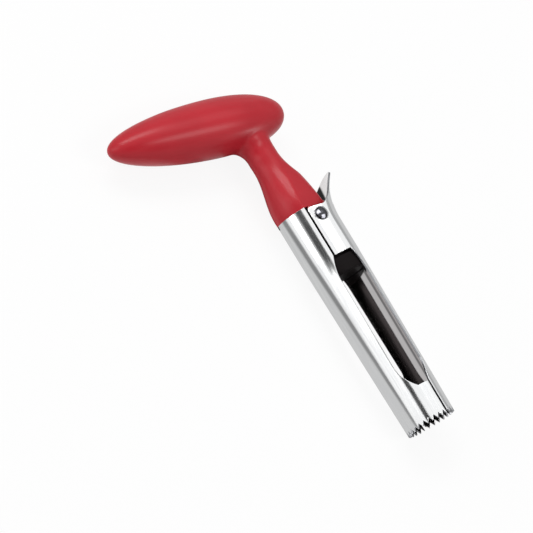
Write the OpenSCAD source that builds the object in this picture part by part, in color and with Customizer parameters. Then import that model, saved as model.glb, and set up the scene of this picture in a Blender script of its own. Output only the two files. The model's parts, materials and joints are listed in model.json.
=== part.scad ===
// Apple corer: a toothed steel barrel split lengthwise into a fixed half and a hinged half,
// under a palm grip. Pressing the thumb tab swings the hinged half open to let the core out.
// It lies on its side: X points to the thumb tab, Y from the teeth to the grip, Z up.
// The pieces are drawn upright, with the barrel's axis on Z and the tooth tips at zero height.

/* [Barrel] */
// Outside radius of the barrel above its taper
barrel_r = 12.5; // [11.5:0.1:14]
// Outside radius at the cutting mouth
mouth_r = 11.35; // [10.5:0.05:12]
// Thickness of the sheet steel
wall = 0.9; // [0.7:0.05:1]
// Height of the barrel from the tooth tips to the rim under the neck
barrel_h = 106.6; // [95:0.1:120]
// Drop from the rim to the top of the taper
taper_drop = 23; // [22.6:0.1:26]

/* [Teeth] */
// Number of teeth round the mouth
tooth_count = 28; // [20:1:36]
// Height of the teeth
tooth_h = 2.2; // [1.2:0.1:3]
// Width of the flat left on each tooth tip
tooth_flat = 0.25; // [0.1:0.05:0.5]

/* [Windows] */
// Height of the closed ring under the windows
ring_h = 16.2; // [13:0.1:20]
// Distance forward of the axis at which the fixed half ends in the ring
ring_seam = 2.4; // [1:0.1:3]
// Gap between the two halves in the ring
ring_gap = 1.1; // [0.5:0.1:1.4]
// Drop from the rim to the top of the windows
window_drop = 24.4; // [23.6:0.1:28]
// Distance behind the axis of the window's edge on the fixed half
window_back = 7.6; // [6.5:0.1:8]
// Distance forward of the axis of the window's edge on the hinged half
window_front = 7.1; // [6.5:0.05:8]
// Drop from the ring's top to the shoulder of the hinged half
shoulder_drop = 1; // [0.5:0.1:2]
// Radius of the sweep from the fixed half's window edge to the ring
sweep_r = 17.5; // [15:0.5:20]
// Height of the curves at the windows' lower end
curve_h = 12; // [9:0.5:14]
// Radius of the arcs that narrow the windows towards their top
arch_r = 30; // [28:1:36]
// Height of the arc on the hinged half
arch_h = 12.7; // [12:0.1:13.5]
// Radius of the hinged half's upper window corner
window_corner_r = 1; // [0.5:0.1:1.5]

/* [Hinge] */
// Drop from the rim to the hinge axis
hinge_drop = 5.7; // [5.4:0.1:6.2]
// Distance behind the axis of the ears' rear edge
ear_back = 4.7; // [4.5:0.1:5]
// Gap between the ears and the fixed half
seam_gap = 0.8; // [0.8:0.05:1]
// Radius of the ears' upper rear corner, which clears the fixed half as they turn
ear_corner_r = 2.5; // [2.3:0.1:3]
// Drop from the rim to the ears' top edge at the rear
ear_drop = 1; // [0.8:0.1:1.4]
// Radius of the hinge pin
pin_r = 1.9; // [1.6:0.1:2.1]
// Radius of the domed rivet heads
head_r = 2.9; // [2.7:0.1:3.1]
// Height of the domes
head_h = 1.3; // [1:0.1:1.5]
// Depth of the flat that each head sits on, measured from the barrel's outside
seat_depth = 0.35; // [0.3:0.05:0.4]
// Width of the flat that shows round each head
seat_rim = 0.4; // [0.2:0.1:0.6]
// Radius of the tenon that enters the far head
tenon_r = 1.2; // [0.9:0.1:1.4]
// Length of the tenon
tenon_h = 0.7; // [0.5:0.05:0.8]

/* [Bushes] */
// Thickness of a bush's sleeve
bush_wall = 0.8; // [0.6:0.1:1]
// Radius of a bush's flange
flange_r = 3.3; // [3:0.1:3.6]

/* [Thumb tab] */
// Radius of the tab's forward bend on its outer face
bend_r = 27; // [24:0.5:32]
// Drop from the hinge axis to the start of the bend
bend_drop = 4.5; // [4.5:0.1:5.5]
// Rise of the tab's tip above the rim
tab_rise = 10.6; // [8:0.1:13]
// Radius of the tab's rounded tip
tip_r = 5; // [4:0.1:6]
// Distance forward of the axis where the ears end and the tab begins
tab_root = 5; // [4.5:0.1:5.5]
// Drop from the rim to the tab's lower corners
tab_drop = 2.3; // [2:0.1:2.6]

/* [Grip] */
// Length of the palm grip
bulb_len = 87.8; // [75:0.1:95]
// Thickness of the palm grip across its tilt
bulb_thick = 24.8; // [22:0.1:30]
// Width of the palm grip from side to side
bulb_wide = 28; // [27.6:0.1:34]
// Fullness of the front end over the rear end
bulb_egg = 0.17; // [0:0.01:0.25]
// Slope of the palm grip, front end low
bulb_tilt = 12.1; // [6:0.1:16]
// Distance of the palm grip's centre behind the barrel's axis
bulb_back = 25.6; // [18:0.1:30]
// Rise of the palm grip's centre above the rim
bulb_rise = 51.8; // [48:0.1:56]
// Radius of the neck at its waist
waist_r = 6.4; // [6.2:0.1:8]
// Rise of the waist above the rim
waist_rise = 27.5; // [25:0.5:29]
// Distance of the waist's centre behind the barrel's axis
waist_back = 2.9; // [2:0.1:3.6]
// Radius of the fillet between the neck and the palm grip
root_r = 4.5; // [3:0.5:6]
// Radius of the neck's front, behind the tab
nose_r = 9.9; // [9.4:0.1:10]
// Turn of the neck's side facets from straight ahead
facet_turn = 72; // [68:1:76]
// Height of the facets above the rim
facet_h = 20; // [16:0.5:24]
// Share of their width that the facets keep at their top
facet_taper = 0.88; // [0.86:0.01:0.94]

/* [Core] */
// Length of the plug inside the barrel
plug_h = 21.5; // [20:0.1:22]
// Length of the plug's round end below its shoulder
tail_h = 11.4; // [9:0.1:12]
// Gap between the round end and the bore
tail_gap = 0.35; // [0.3:0.05:0.5]
// Rounding of its lower edge
tail_round = 1.6; // [1:0.1:2]
// Drop from the top of the windows to the top of the full width
tail_drop = 1.2; // [1:0.1:2]
// Radius of the stem inside the neck
stem_r = 4.4; // [3.6:0.1:4.5]
// Radius of the bar inside the palm grip
bar_r = 5; // [4:0.1:6]
// Length of the bar
bar_len = 46; // [30:1:50]
// Distance of the stem's axis behind the barrel's axis
stem_back = 3.3; // [3:0.1:3.5]

/* [Tang] */
// Radius of the steel rod
rod_r = 2; // [1.5:0.1:2.4]
// Thickness of the plate joined to the fixed half
plate_h = 1.6; // [1.2:0.1:1.6]
// Half width of the plate
plate_half = 6; // [4:0.1:7]
// Drop from the rim to the plate's top
plate_drop = 0.2; // [0.1:0.1:0.3]

/* [Spring] */
// Diameter of the spring wire
wire_d = 0.9; // [0.7:0.05:1]
// Mean radius of the coil
coil_r = 3.2; // [3:0.05:3.3]
// Whole turns of the coil
coil_turns = 4; // [3:1:4]
// Gap between turns
coil_gap = 0.45; // [0.42:0.01:0.6]
// Reach of the anchored leg behind the hinge axis
leg_back = 7.5; // [6.5:0.1:8]
// Drop from the rim to the point where the free leg meets the tab
leg_drop = 0.6; // [0:0.1:1.2]

/* [Fits] */
// Running clearance of the pin in the bushes
pin_gap = 0.05; // [0.03:0.01:0.08]
// Clearance of pieces that are pressed or moulded together
snug = 0.02; // [0.01:0.01:0.04]
// Clearance between the bush flanges and the ears
ear_gap = 0.15; // [0.1:0.05:0.3]
// Clearance of the spring's leg in its hole
leg_gap = 0.04; // [0.02:0.01:0.08]
// Clearance round the coil in its pocket
pocket_gap = 0.7; // [0.5:0.1:0.8]

/* [Hidden] */
$fn = 96;
// Cutters run this far past what they cut
past = 1;
// Reach of the cutters that pass right across the barrel
span = 4 * barrel_r;
bore_r = barrel_r - wall;
mouth_bore_r = mouth_r - wall;
taper_h = barrel_h - taper_drop;
hinge_z = barrel_h - hinge_drop;
bend_z = hinge_z - bend_drop;
bend_axis_x = bend_r + barrel_r;
tip_z = barrel_h + tab_rise;
tab_z = barrel_h - tab_drop;
window_z = barrel_h - window_drop;
// The bend is drawn this many degrees past the tab's tip before the tab is cut from it
bend_past = 3;
bend_sweep = asin((tip_z - bend_z) / bend_r) + bend_past;
tab_tip_x = bend_axis_x - sqrt(bend_r ^ 2 - (tip_z - bend_z) ^ 2);
fixed_edge = -ear_back - seam_gap;
ring_edge = ring_seam + ring_gap;
// Flats: the rivet heads' seats, and the faces of the bushes' flanges
seat_y = barrel_r - seat_depth;
flange_out = sqrt(bore_r ^ 2 - flange_r ^ 2) - ear_gap;
flange_in = sqrt(nose_r ^ 2 - flange_r ^ 2) - snug;
bush_r = pin_r + pin_gap + bush_wall;
coil_pitch = wire_d + coil_gap;
pocket_r = coil_r + wire_d / 2 + pocket_gap;
plug_z = barrel_h - plug_h;
tail_z = plug_z - tail_h;
tail_top = window_z - tail_drop;
tail_r = mouth_bore_r + (bore_r - mouth_bore_r) * tail_z / taper_h - tail_gap;
bulb_z = barrel_h + bulb_rise;
bulb_half = bulb_len / 2;
bulb_dir = [cos(bulb_tilt), 0, -sin(bulb_tilt)];
bulb_up = [sin(bulb_tilt), 0, cos(bulb_tilt)];
bulb_centre = [-bulb_back, 0, bulb_z];
// Share of the bar that lies behind the stem
bar_rear = 0.66;
bulb_sides = 44;
bulb_rings = 28;
front_sides = 44;
back_sides = 32;
cavity_fn = 28;
wire_sides = 8;
turn_steps = 16;

// Points of an arc about c, from angle a to angle b
function arc(c, r, a, b, steps = 10) =
    [for (i = [0:steps]) c + r * [cos(a + (b - a) * i / steps), sin(a + (b - a) * i / steps)]];

// Points of an S-curve of two equal arcs that leaves p and reaches q going straight up
function s_curve(p, q, steps = 16) =
    let (rise = q[1] - p[1], shift = q[0] - p[0], turn = 2 * atan(shift / rise), r = rise / (2 * sin(turn)))
    [for (i = [0:steps])
        let (share = i / steps, a = turn * (share < 0.5 ? 2 * share : 2 - 2 * share))
        share < 0.5 ? p + r * [1 - cos(a), sin(a)] : q - r * [1 - cos(a), sin(a)]];

// Point where a line from p touches a circle on the side given by sign
function touch(p, c, r, sign) =
    let (v = p - c, a = atan2(v[1], v[0]) + sign * acos(r / norm(v)))
    c + r * [cos(a), sin(a)];

// Palm grip: half thickness share at t, from -1 at the rear end to 1 at the front end
function bulb_share(t) = sqrt(max(0, 1 - t ^ 2)) * (1 + bulb_egg * t);
function bulb_ring(t) = [for (i = [0:bulb_sides - 1])
    let (a = -360 * i / bulb_sides)
    bulb_centre + bulb_dir * bulb_half * t
        + bulb_up * bulb_thick / 2 * bulb_share(t) * cos(a)
        + [0, bulb_wide / 2 * bulb_share(t) * sin(a), 0]];
bulb_steps = [for (j = [1:bulb_rings]) -cos(180 * j / (bulb_rings + 1))];
bulb_points = [for (t = bulb_steps) bulb_ring(t)];
bulb_ends = [bulb_centre - bulb_dir * bulb_half, bulb_centre + bulb_dir * bulb_half];
// Outermost points of the whole tool, which place its origin
low_x = min([for (ring = bulb_points) for (p = ring) p[0]]);
high_x = max(tab_tip_x, max([for (ring = bulb_points) for (p = ring) p[0]]));
high_z = max([for (ring = bulb_points) for (p = ring) p[2]]);
rest_y = max([for (ring = bulb_points) for (p = ring) p[1]]);

// Facets of the neck: their distance from the axis at the rim, where they start at the seam
edge_y = sqrt(barrel_r ^ 2 - fixed_edge ^ 2);
facet_d = fixed_edge * cos(facet_turn) + edge_y * sin(facet_turn);
// Height of the palm grip's underside at [x, y], found by closing in on its place along the grip
function under_n(t, y) =
    -bulb_thick / 2 * bulb_share(t) * sqrt(max(0, 1 - (y / (bulb_wide / 2 * bulb_share(t))) ^ 2));
function under_t(x, y, tries = 4) =
    tries == 0
        ? (x + bulb_back) / (bulb_half * cos(bulb_tilt))
        : (x + bulb_back - under_n(under_t(x, y, tries - 1), y) * sin(bulb_tilt)) / (bulb_half * cos(bulb_tilt));
function under_z(x, y) =
    let (t = under_t(x, y))
    bulb_z - bulb_half * t * sin(bulb_tilt) + under_n(t, y) * cos(bulb_tilt);
// Neck: radius and centre at a height above the rim, up to the waist
function neck_r(h) = waist_r + (barrel_r - waist_r) * (1 + cos(180 * min(1, h / waist_rise))) / 2;
function neck_x(h) = -waist_back * min(1, h / waist_rise);
// The facets and the nose narrow by the same share as they rise, and end at the facets' height
function narrowing(h) = 1 - (1 - facet_taper) * h / facet_h;
function facet_reach(h) = facet_d * narrowing(h) - neck_x(h) * cos(facet_turn);
// Angle of the crease where a facet leaves the round of the neck
function crease(h) = facet_turn + acos(min(1, facet_reach(h) / neck_r(h)));
function front_r(h, a) =
    let (x = neck_x(h), nose = nose_r * narrowing(h), facet = facet_reach(h) / max(0.1, cos(abs(a) - facet_turn)))
    h > facet_h
        ? neck_r(h)
        : abs(a) > facet_turn
            ? min(neck_r(h), facet)
            : min(neck_r(h), facet, sqrt(nose ^ 2 - (x * sin(a)) ^ 2) - x * cos(a));
function neck_point(h, r, a) = [neck_x(h) + r * cos(a), r * sin(a), barrel_h + h];
function neck_ring(h) =
    let (c = crease(h))
    concat(
        [for (i = [0:front_sides - 1])
            let (a = c * (2 * i / front_sides - 1))
            neck_point(h, front_r(h, a), a)],
        [for (i = [0:back_sides - 1])
            let (a = c + (360 - 2 * c) * i / back_sides)
            neck_point(h, neck_r(h), a)]);
neck_steps = [for (j = [0:14]) waist_rise * j / 14];
// Fillet from the neck to the palm grip, turned by a from the neck's side to the grip's underside,
// with its last ring sunk into the grip
function root_ring(a, sunk) =
    let (r = waist_r + root_r * (1 - cos(a)))
    [for (p = neck_ring(waist_rise))
        let (out = [p[0] + waist_back, p[1]], x = out[0] / norm(out) * r - waist_back, y = out[1] / norm(out) * r)
        [x, y, under_z(x, y) - root_r * (1 - sin(a)) + sunk]];
neck_rings = concat(
    [for (h = neck_steps) neck_ring(h)],
    [for (a = [0:15:75]) root_ring(a, 0)],
    [root_ring(80, root_r)]);
neck_ends = [[0, 0, barrel_h], [-waist_back, 0, under_z(-waist_back, 0) + root_r]];

// Spring: the leg that lies against the tab leaves the coil where it points at its far end
leg_z = barrel_h - leg_drop;
leg_x = bend_axis_x - sqrt((bend_r + wall) ^ 2 - (leg_z - bend_z) ^ 2) - wire_d;
leg_start = touch([leg_x, leg_z], [0, hinge_z], coil_r, -1);
leave_a = atan2(leg_start[1] - hinge_z, leg_start[0]);
coil_a = 360 * coil_turns + 90 + leave_a;
coil_y = coil_pitch * coil_a / 360;
pocket_half = coil_y / 2 + wire_d / 2 + pocket_gap;
coil_steps = ceil(coil_a / 360 * turn_steps);
spring_path = concat(
    [[-leg_back, -coil_y / 2, hinge_z - coil_r]],
    [for (i = [0:coil_steps])
        let (a = -90 + coil_a * i / coil_steps)
        [coil_r * cos(a), coil_y * (i / coil_steps - 0.5), hinge_z + coil_r * sin(a)]],
    [[leg_x, coil_y / 2, leg_z]]);
// Clear distance between one turn of wire and the next
echo(least_spring_gap = min([for (i = [1:coil_steps + 1 - turn_steps])
    for (j = [i + turn_steps / 2:coil_steps + 1])
        norm(spring_path[i] - spring_path[j])]) - wire_d);

// Lays the upright tool on its side with its origin under the middle of its box
module lying() {
    translate([-(low_x + high_x) / 2, -high_z / 2, rest_y])
        rotate([-90, 0, 0])
            children();
}

// Extrudes a side-view outline, drawn as [forward, up], right across the tool
module across() {
    translate([0, span, 0])
        rotate([90, 0, 0])
            linear_extrude(2 * span)
                children();
}

// Puts something drawn along Z onto the hinge axis, pointing to one side
module on_hinge(side) {
    translate([0, 0, hinge_z])
        rotate([side * -90, 0, 0])
            children();
}

// Closed skin through rings of points, drawn together to a point at each end
module skin(rings, ends) {
    n = len(rings[0]);
    m = len(rings);
    first = n * m;
    polyhedron(
        points = concat([for (ring = rings) each ring], ends),
        faces = concat(
            [for (i = [0:n - 1]) [first, i, (i + 1) % n]],
            [for (j = [0:m - 2]) for (i = [0:n - 1])
                each [[j * n + i, (j + 1) * n + i, (j + 1) * n + (i + 1) % n],
                    [j * n + i, (j + 1) * n + (i + 1) % n, j * n + (i + 1) % n]]],
            [for (i = [0:n - 1]) [first + 1, (m - 1) * n + (i + 1) % n, (m - 1) * n + i]]));
}

// Round wire swept along points
module wire(path, d) {
    last = len(path) - 1;
    function heading(i) =
        let (v = path[min(last, i + 1)] - path[max(0, i - 1)])
        v / norm(v);
    function ring(i) =
        let (t = heading(i), side = cross(t, [0, 1, 0]), u = side / norm(side), w = cross(u, t))
        [for (k = [0:wire_sides - 1])
            let (a = 360 * k / wire_sides)
            path[i] + d / 2 * (u * cos(a) + w * sin(a))];
    skin([for (i = [0:last]) ring(i)], [path[0], path[last]]);
}

// Tapered tube of the barrel, up to a height
module tube(top) {
    rotate_extrude()
        polygon([[mouth_bore_r, 0], [mouth_r, 0], [barrel_r, taper_h], [barrel_r, top],
            [bore_r, top], [bore_r, taper_h]]);
}

// Barrel that bends forward over the hinge, from which the hinged half is cut
module bent_tube() {
    tube(bend_z);
    translate([bend_axis_x, 0, bend_z])
        rotate([90, 0, 180])
            rotate_extrude(angle = bend_sweep)
                translate([bend_axis_x, 0])
                    difference() {
                        circle(barrel_r);
                        circle(bore_r);
                    }
}

// Notches that leave the teeth
module notches() {
    pitch = 360 / tooth_count;
    half = PI * mouth_r / tooth_count - tooth_flat / 2;
    for (i = [0:tooth_count - 1])
        rotate([0, 0, (i + 0.5) * pitch])
            rotate([90, 0, 90])
                linear_extrude(barrel_r + past)
                    polygon([[-half, 0], [-half, -past], [half, -past], [half, 0], [0, tooth_h]]);
}

// Side view of the fixed half
module fixed_side() {
    sweep_turn = asin(curve_h / sweep_r);
    sweep_c = [sweep_r - window_back, ring_h + curve_h];
    arch_turn = acos(1 - (window_back + fixed_edge) / arch_r);
    arch_c = [arch_r - window_back, window_z - arch_r * sin(arch_turn)];
    polygon(concat(
        [[-span, -past], [ring_seam, -past], [ring_seam, ring_h]],
        arc(sweep_c, sweep_r, 180 + sweep_turn, 180),
        arc(arch_c, arch_r, 180, 180 - arch_turn),
        [[fixed_edge, barrel_h], [-span, barrel_h]]));
}

// Side view of the hinged half below the tab
module hinged_side() {
    ear_top = barrel_h - ear_drop;
    top_turn = atan((ear_top - tab_z) / (tab_root + ear_back));
    arch_c = [window_front - arch_r, window_z - arch_h];
    corner_turn = asin((arch_h - window_corner_r) / (arch_r - window_corner_r));
    corner_c = arch_c + (arch_r - window_corner_r) * [cos(corner_turn), sin(corner_turn)];
    polygon(concat(
        [[span, -past], [ring_edge, -past]],
        s_curve([ring_edge, ring_h - shoulder_drop], [window_front, ring_h - shoulder_drop + curve_h]),
        arc(arch_c, arch_r, 0, 0.9 * corner_turn, 9),
        arc(corner_c, window_corner_r, corner_turn, 90),
        [[-ear_back, window_z]],
        arc([ear_corner_r - ear_back, ear_top - ear_corner_r], ear_corner_r, 180, 90 - top_turn),
        [[tab_root, tab_z], [span, tab_z]]));
}

// Front view of the thumb tab: a tongue that narrows to a round tip
module tab_front() {
    corner = sqrt(barrel_r ^ 2 - tab_root ^ 2) + wall;
    c = [0, tip_z - tip_r];
    right = touch([corner, tab_z], c, tip_r, 1);
    a = atan2(right[1] - c[1], right[0]);
    polygon(concat(
        [[-corner, tab_z - past], [corner, tab_z - past], [corner, tab_z]],
        arc(c, tip_r, a, 180 - a, 24),
        [[-corner, tab_z]]));
}

// Section of the plug in front of the seam: a round nose between two facets
module nose() {
    intersection() {
        circle(nose_r);
        polygon([[facet_d / cos(facet_turn), 0], [fixed_edge, edge_y], [-span, edge_y], [-span, -edge_y],
            [fixed_edge, -edge_y]]);
    }
}

module behind_seam(bottom, top) {
    translate([-span, -span, bottom])
        cube([span + fixed_edge, 2 * span, top - bottom]);
}

// Stem and round-ended bar that stiffen the grip, grown by a clearance to make room for themselves
module stem(grow = 0) {
    translate([-stem_back, 0, barrel_h - past])
        cylinder(r = stem_r + grow, h = past + bulb_rise - tan(bulb_tilt) * (bulb_back - stem_back));
    translate(bulb_centre + bulb_dir * (bulb_back - stem_back) / cos(bulb_tilt))
        rotate([0, bulb_tilt + 90, 0])
            translate([0, 0, -bar_len * bar_rear]) {
                cylinder(r = bar_r + grow, h = bar_len);
                for (z = [0, bar_len])
                    translate([0, 0, z])
                        sphere(bar_r + grow);
            }
}

// Domed rivet head standing on the plane at zero height
module dome() {
    ball_r = (head_r ^ 2 + head_h ^ 2) / (2 * head_h);
    intersection() {
        translate([0, 0, head_h - ball_r])
            sphere(ball_r);
        cylinder(r = head_r, h = head_h);
    }
}

module grip() {
    color([0.70, 0.17, 0.19])
        difference() {
            union() {
                skin(bulb_points, bulb_ends);
                skin(neck_rings, neck_ends);
            }
            stem(snug, $fn = cavity_fn);
        }
}

// Full width of the plug below the ears, where the hinged half only swings away from it
module tail() {
    rotate_extrude()
        polygon(concat(
            [[0, tail_z]],
            arc([tail_r - tail_round, tail_z + tail_round], tail_round, -90, 0),
            [[tail_r, tail_top], [0, tail_top]]));
}

// Plug in the top of the barrel, with a pocket for the coil that is open at the front
module plug() {
    difference() {
        union() {
            tail();
            translate([0, 0, tail_z])
                linear_extrude(tail_h + plug_h)
                    nose();
            intersection() {
                translate([0, 0, plug_z])
                    cylinder(r = bore_r - snug, h = plug_h);
                behind_seam(plug_z, barrel_h);
            }
            for (side = [-1, 1])
                on_hinge(side)
                    cylinder(r = flange_r, h = flange_in);
        }
        for (side = [-1, 1])
            on_hinge(side) {
                cylinder(r = bush_r + snug, h = barrel_r);
                cylinder(r = pocket_r, h = pocket_half);
                translate([0, 0, flange_in])
                    cylinder(r = flange_r + snug, h = barrel_r);
            }
        translate([0, -pocket_half, hinge_z - pocket_r])
            cube([barrel_r, 2 * pocket_half, barrel_h]);
        translate([-leg_back - wire_d, -coil_y / 2, hinge_z - coil_r])
            rotate([0, 90, 0])
                cylinder(d = wire_d + 2 * leg_gap, h = leg_back + wire_d);
    }
}

module handle_core() {
    color([0.13, 0.11, 0.11])
        difference() {
            union() {
                plug();
                stem();
            }
            tang_shape(snug);
        }
}

// Plate and rod, joined as one piece, grown by a clearance to make room for themselves
module tang_shape(grow = 0) {
    plate_z = barrel_h - plate_drop - plate_h - grow;
    translate([-stem_back, 0, plate_z])
        cylinder(r = rod_r + grow, h = bulb_z - bar_r + grow - plate_z);
    intersection() {
        translate([0, 0, plate_z])
            cylinder(r = bore_r - snug + grow, h = plate_h + 2 * grow);
        translate([-barrel_r, -plate_half - grow, plate_z])
            cube([barrel_r - stem_back, 2 * (plate_half + grow), plate_h + 2 * grow]);
    }
}

module tang() {
    color([0.62, 0.63, 0.65])
        tang_shape();
}

module fixed_blade() {
    color([0.80, 0.81, 0.83])
        difference() {
            intersection() {
                tube(barrel_h);
                across() fixed_side();
            }
            notches();
        }
}

module hinged_blade() {
    color([0.84, 0.85, 0.87])
        difference() {
            intersection() {
                bent_tube();
                union() {
                    across() hinged_side();
                    translate([tab_root, 0, 0])
                        rotate([90, 0, 90])
                            linear_extrude(span)
                                tab_front();
                }
            }
            notches();
            for (side = [-1, 1])
                on_hinge(side) {
                    cylinder(r = pin_r + snug, h = barrel_r + past);
                    translate([0, 0, seat_y])
                        cylinder(r = head_r + seat_rim, h = past);
                }
        }
}

module hinge_pin() {
    color([0.76, 0.77, 0.79]) {
        on_hinge(-1)
            translate([0, 0, seat_y])
                dome();
        on_hinge(1) {
            translate([0, 0, -seat_y])
                cylinder(r = pin_r, h = 2 * seat_y);
            translate([0, 0, seat_y])
                cylinder(r = tenon_r, h = tenon_h);
        }
    }
}

module pin_cap() {
    color([0.76, 0.77, 0.79])
        on_hinge(1)
            translate([0, 0, seat_y])
                difference() {
                    dome();
                    translate([0, 0, -past])
                        cylinder(r = tenon_r + snug, h = tenon_h + snug + past);
                }
}

module bush(side) {
    color([0.88, 0.86, 0.80])
        on_hinge(side)
            difference() {
                union() {
                    translate([0, 0, flange_in])
                        cylinder(r = flange_r, h = flange_out - flange_in);
                    translate([0, 0, pocket_half])
                        cylinder(r = bush_r, h = flange_in - pocket_half);
                }
                cylinder(r = pin_r + pin_gap, h = barrel_r);
            }
}

module torsion_spring() {
    color([0.66, 0.67, 0.70])
        wire(spring_path, wire_d);
}

lying() grip();
lying() handle_core();
lying() tang();
lying() fixed_blade();
lying() hinged_blade();
lying() hinge_pin();
lying() pin_cap();
lying() bush(-1);  // bush_near
lying() bush(1);  // bush_far
lying() torsion_spring();
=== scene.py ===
# %% [markdown]
# # A corer with a hinged barrel, lying on a white table
# The tool has two halves of a steel barrel, a rivet that joins them, and a red handle.
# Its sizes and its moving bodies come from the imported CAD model, which is the fixed frame here.
# This lesson gives that frame its looks: a camera, smooth pieces where the CAD is faceted,
# a finish for every surface, and a plain studio.

# %% Load the frame
import json
import math

import bpy
from mathutils import Matrix, Vector


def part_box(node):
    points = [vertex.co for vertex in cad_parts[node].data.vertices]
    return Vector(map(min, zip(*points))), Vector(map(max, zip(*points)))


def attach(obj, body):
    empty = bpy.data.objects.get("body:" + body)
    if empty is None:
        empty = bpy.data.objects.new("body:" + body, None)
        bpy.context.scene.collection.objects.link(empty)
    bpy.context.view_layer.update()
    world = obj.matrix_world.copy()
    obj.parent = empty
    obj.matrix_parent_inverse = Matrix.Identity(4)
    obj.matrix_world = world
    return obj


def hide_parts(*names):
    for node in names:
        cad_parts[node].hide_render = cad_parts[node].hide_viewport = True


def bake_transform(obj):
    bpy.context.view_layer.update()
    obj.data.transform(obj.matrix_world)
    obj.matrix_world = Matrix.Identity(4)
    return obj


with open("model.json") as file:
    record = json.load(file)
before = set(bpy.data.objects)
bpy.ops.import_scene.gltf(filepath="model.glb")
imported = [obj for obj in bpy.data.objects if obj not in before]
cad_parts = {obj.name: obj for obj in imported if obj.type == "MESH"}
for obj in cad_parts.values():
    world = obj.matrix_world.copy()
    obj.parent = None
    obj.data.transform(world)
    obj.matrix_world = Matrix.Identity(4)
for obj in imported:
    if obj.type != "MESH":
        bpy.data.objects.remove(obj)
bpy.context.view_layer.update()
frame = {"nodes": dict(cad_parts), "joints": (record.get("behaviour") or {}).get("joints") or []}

MM = 0.001
hinge = Vector(frame["joints"][0]["pos_m"])
mouth_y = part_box("fixed_blade")[0].y
rim_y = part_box("fixed_blade")[1].y

# %% [markdown]
# The camera comes first, because every later choice is judged through it.
# The tool lies on its side with the barrel along Y, and is seen from above and a little from behind.
# The angles below turn the view round the barrel, lift it, and roll the picture.
# A long lens from far away keeps the barrel's edges nearly parallel, as in the photograph.

# %% Camera
view_swing = math.radians(123)
view_lift = math.radians(-8)
view_roll = math.radians(31.3)
view_distance = 3.0
view_width = 227.6 * MM
view_centre = Vector((-0.9, 7.9, 4.9)) * MM

right = Vector((math.sin(view_swing), 0, -math.cos(view_swing)))
level = Vector((math.cos(view_swing), 0, math.sin(view_swing)))
along = Vector((0, 1, 0))
towards = math.cos(view_lift) * level + math.sin(view_lift) * along
upward = math.cos(view_lift) * along - math.sin(view_lift) * level
picture_right = math.cos(view_roll) * right - math.sin(view_roll) * upward
picture_up = math.sin(view_roll) * right + math.cos(view_roll) * upward

camera_data = bpy.data.cameras.new("camera")
camera_data.sensor_width = 36
camera_data.lens = camera_data.sensor_width * view_distance / view_width
camera_data.clip_end = 20
camera = bpy.data.objects.new("camera", camera_data)
bpy.context.scene.collection.objects.link(camera)
turned = Matrix((picture_right, picture_up, towards)).transposed().to_4x4()
camera.matrix_world = Matrix.Translation(view_centre + towards * view_distance) @ turned
bpy.context.scene.camera = camera
print("lens:", round(camera_data.lens), "mm, towards the camera:", [round(x, 3) for x in towards])

# %% [markdown]
# Five small helpers serve the modelling below.
# `pick` selects some pieces and nothing else, because an operator acts on all that is selected.
# `begin` adds a primitive, with nothing else selected, and names it.
# `finish_with` adds a modifier, sets it and applies it, so that the piece ends as a plain mesh.
# `at` turns a place on the tool, in mm, into the frame: forward of the barrel's axis, above its rim
# and to the side.
# `between` goes a share of the way from one value to another.

# %% Helpers for modelling
def pick(active, *others):
    bpy.ops.object.select_all(action="DESELECT")
    for piece in (active, *others):
        piece.select_set(True)
    bpy.context.view_layer.objects.active = active


def begin(name, primitive, **settings):
    bpy.ops.object.select_all(action="DESELECT")
    primitive(**settings)
    piece = bpy.context.object
    piece.name = piece.data.name = name
    return piece


def finish_with(piece, kind, **settings):
    pick(piece)
    modifier = piece.modifiers.new(kind.lower(), kind)
    for name, value in settings.items():
        setattr(modifier, name, value)
    bpy.ops.object.modifier_apply(modifier=modifier.name)


def at(forward, above, side=0.0):
    return Vector((hinge.x + forward * MM, rim_y + above * MM, hinge.z + side * MM))


def between(first, last, share):
    return first + (last - first) * share


print("middle of the barrel's rim:", [round(x / MM, 2) for x in at(0, 0)], "mm")

# %% [markdown]
# The palm grip is an egg that lies across the top of the neck, fuller in front and sloping forward.
# A sphere with its poles at the two ends is made fuller towards the front and a little blunter
# at both ends (an ellipse has power 2), then stretched and tilted.
# transform.rotate turns clockwise for a positive value here, which is the way the front end dips.

# %% Egg of the palm grip
bulb_size = Vector((87.3, 25.2, 27.85)) * MM
bulb_egg = 0.17
bulb_power = 2.15
ball_r = 0.5
pole_share = 0.999
bulb_tilt = math.radians(11.2)
bulb_centre = at(-25.6, 51.65)

grip = begin("palm_grip", bpy.ops.mesh.primitive_uv_sphere_add, segments=72, ring_count=56,
             radius=ball_r, rotation=(0, math.pi / 2, 0))
bpy.ops.object.transform_apply()
for vertex in grip.data.vertices:
    share = vertex.co.x / ball_r
    fuller = 1 + bulb_egg * share
    if abs(share) < pole_share:
        blunt = (1 - abs(share) ** bulb_power) ** (1 / bulb_power)
        fuller *= blunt / math.sqrt(1 - share ** 2)
    vertex.co.y *= fuller
    vertex.co.z *= fuller
bpy.ops.object.mode_set(mode="EDIT")
bpy.ops.mesh.select_all(action="SELECT")
bpy.ops.transform.resize(value=bulb_size, center_override=(0, 0, 0))
bpy.ops.transform.rotate(value=bulb_tilt, orient_axis="Z", center_override=(0, 0, 0))
bpy.ops.transform.translate(value=bulb_centre)
bpy.ops.object.mode_set(mode="OBJECT")
front_tip = max(grip.data.vertices, key=lambda v: v.co.x).co
print("the egg's front end is", round((bulb_centre.y - front_tip.y) / MM, 1), "mm below its middle")

# %% [markdown]
# The neck is a round bar that swells from its waist to the barrel's rim.
# A filled circle is extruded upwards in short steps, and each new ring is resized and shifted.
# It starts below the rim and ends inside the egg, so that both ends can be trimmed or swallowed later.

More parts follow.
